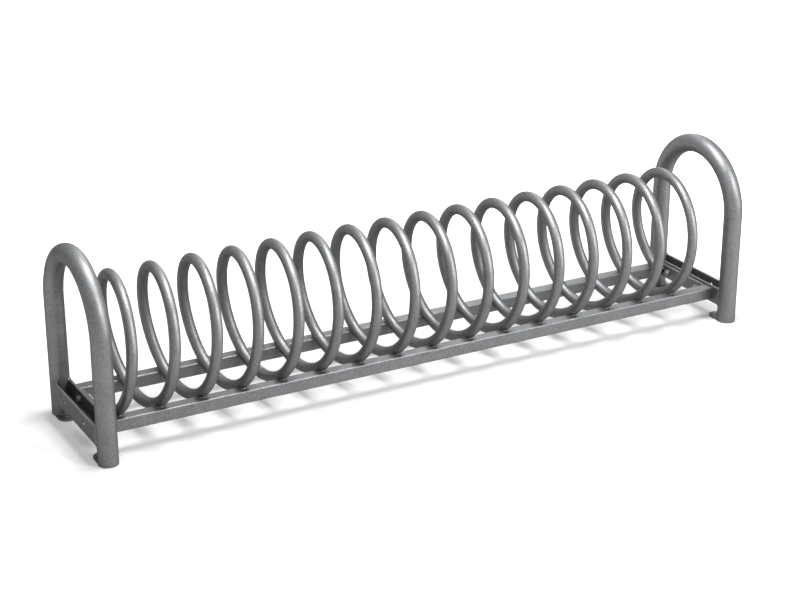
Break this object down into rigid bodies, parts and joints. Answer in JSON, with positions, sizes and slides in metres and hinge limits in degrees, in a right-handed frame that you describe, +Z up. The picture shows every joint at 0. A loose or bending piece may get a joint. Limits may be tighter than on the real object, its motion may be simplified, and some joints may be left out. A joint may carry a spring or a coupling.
{
  "type": "bike parking stand",
  "caption": "Floor-standing bicycle stand: a long steel tube coil let into ground rails between arched end frames, with wheel slots between its turns.",
  "frame": {"origin": "on the ground under the middle of the stand", "axes": "+X along the rails to the right end, +Y to the back, +Z up"},
  "size_m": [2.2552, 0.4504, 0.5939],
  "materials": {
    "coat": "silver-grey fine-grained powder coat, satin",
    "zinc": "zinc plate, dull"
  },
  "bodies": {
    "root": {"left_hoop": "coat", "right_hoop": "coat", "left_front_foot": "coat", "left_back_foot": "coat", "right_front_foot": "coat", "right_back_foot": "coat", "left_channel": "coat", "right_channel": "coat", "left_end_bar": "coat", "right_end_bar": "coat", "front_rail": "coat", "back_rail": "coat", "coil_section_1": "coat", "coil_section_2": "coat", "coil_section_3": "coat", "coil_section_4": "coat", "left_bolts": "zinc", "right_bolts": "zinc", "left_washers": "zinc", "right_washers": "zinc", "left_nuts": "zinc", "right_nuts": "zinc"}
  },
  "joints": []
}
